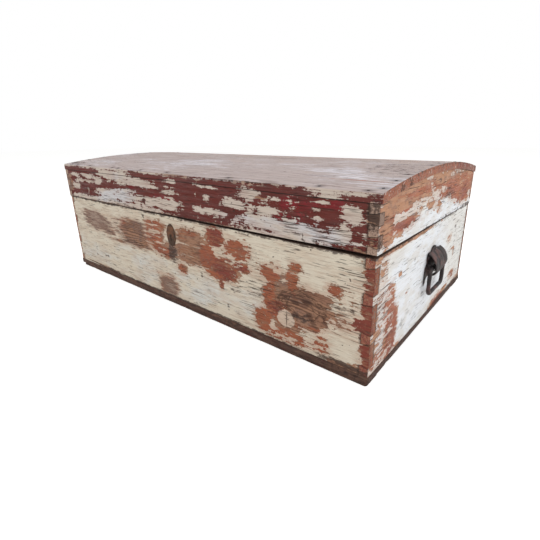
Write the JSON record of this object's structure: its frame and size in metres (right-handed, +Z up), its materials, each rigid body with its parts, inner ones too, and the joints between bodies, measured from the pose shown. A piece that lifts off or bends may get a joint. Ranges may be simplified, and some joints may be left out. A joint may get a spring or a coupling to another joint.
{
  "type": "wooden trunk",
  "caption": "Low dovetailed pine trunk with a gently arched plank lid on back hinges, a box lock with keyhole plate, and hooded swinging bail handles on both ends.",
  "frame": {"origin": "on the floor, under the middle of the overall box of the closed trunk, hinges and handles included", "axes": "+Z up, +X towards the right end, -Y towards the front with the keyhole"},
  "size_m": [0.9614, 0.5458, 0.3133],
  "materials": {
    "cream_painted_pine": "worn cream milk paint over pine",
    "white_painted_pine": "worn white milk paint over pine",
    "red_painted_pine": "worn dark red milk paint over cream",
    "weathered_pine": "bare weathered pine",
    "bare_pine": "dark bare pine",
    "wrought_iron": "dark forged iron with rust",
    "aged_brass": "dull aged brass"
  },
  "bodies": {
    "carcass": {"back_board": "cream_painted_pine", "back_runner": "bare_pine", "escutcheon": "aged_brass", "escutcheon_pins": "aged_brass", "floor_board_1": "bare_pine", "floor_board_2": "bare_pine", "floor_board_3": "bare_pine", "floor_nails": "wrought_iron", "front_board": "cream_painted_pine", "front_runner": "bare_pine", "handle_nails": "wrought_iron", "hinge_body_nails": "wrought_iron", "left_end_board": "white_painted_pine", "left_handle_hood": "wrought_iron", "left_handle_plate": "wrought_iron", "left_hinge_body_leaf": "wrought_iron", "left_hinge_pin": "wrought_iron", "lock_case": "wrought_iron", "lock_nails": "wrought_iron", "right_end_board": "white_painted_pine", "right_handle_hood": "wrought_iron", "right_handle_plate": "wrought_iron", "right_hinge_body_leaf": "wrought_iron", "right_hinge_pin": "wrought_iron"},
    "lid": {"lid_front_board": "red_painted_pine", "lid_back_board": "red_painted_pine", "lid_left_end_board": "white_painted_pine", "lid_right_end_board": "white_painted_pine", "roof_plank_1": "weathered_pine", "roof_plank_2": "weathered_pine", "roof_plank_3": "weathered_pine", "roof_plank_4": "weathered_pine", "roof_nails": "wrought_iron", "left_hinge_lid_leaf": "wrought_iron", "right_hinge_lid_leaf": "wrought_iron", "hinge_lid_nails": "wrought_iron", "lid_staple": "wrought_iron", "staple_nails": "wrought_iron"},
    "left_bail": {"left_bail": "wrought_iron"},
    "right_bail": {"right_bail": "wrought_iron"},
    "lock_bolt": {"lock_bolt": "wrought_iron"}
  },
  "joints": [
    {"name": "lid_hinge", "type": "hinge", "parent": "carcass", "child": "lid", "pos_m": [0, 0.25878, 0.204], "axis": [-1, 0, 0], "range_deg": [0, 105]},
    {"name": "left_bail_swing", "type": "hinge", "parent": "carcass", "child": "left_bail", "pos_m": [-0.4715, -0.00908, 0.125], "axis": [0, 1, 0], "range_deg": [-6, 180]},
    {"name": "right_bail_swing", "type": "hinge", "parent": "carcass", "child": "right_bail", "pos_m": [0.4715, -0.00908, 0.125], "axis": [0, -1, 0], "range_deg": [-6, 180]},
    {"name": "lock_bolt_slide", "type": "slide", "parent": "carcass", "child": "lock_bolt", "axis": [1, 0, 0], "range_m": [0, 0.013]}
  ]
}
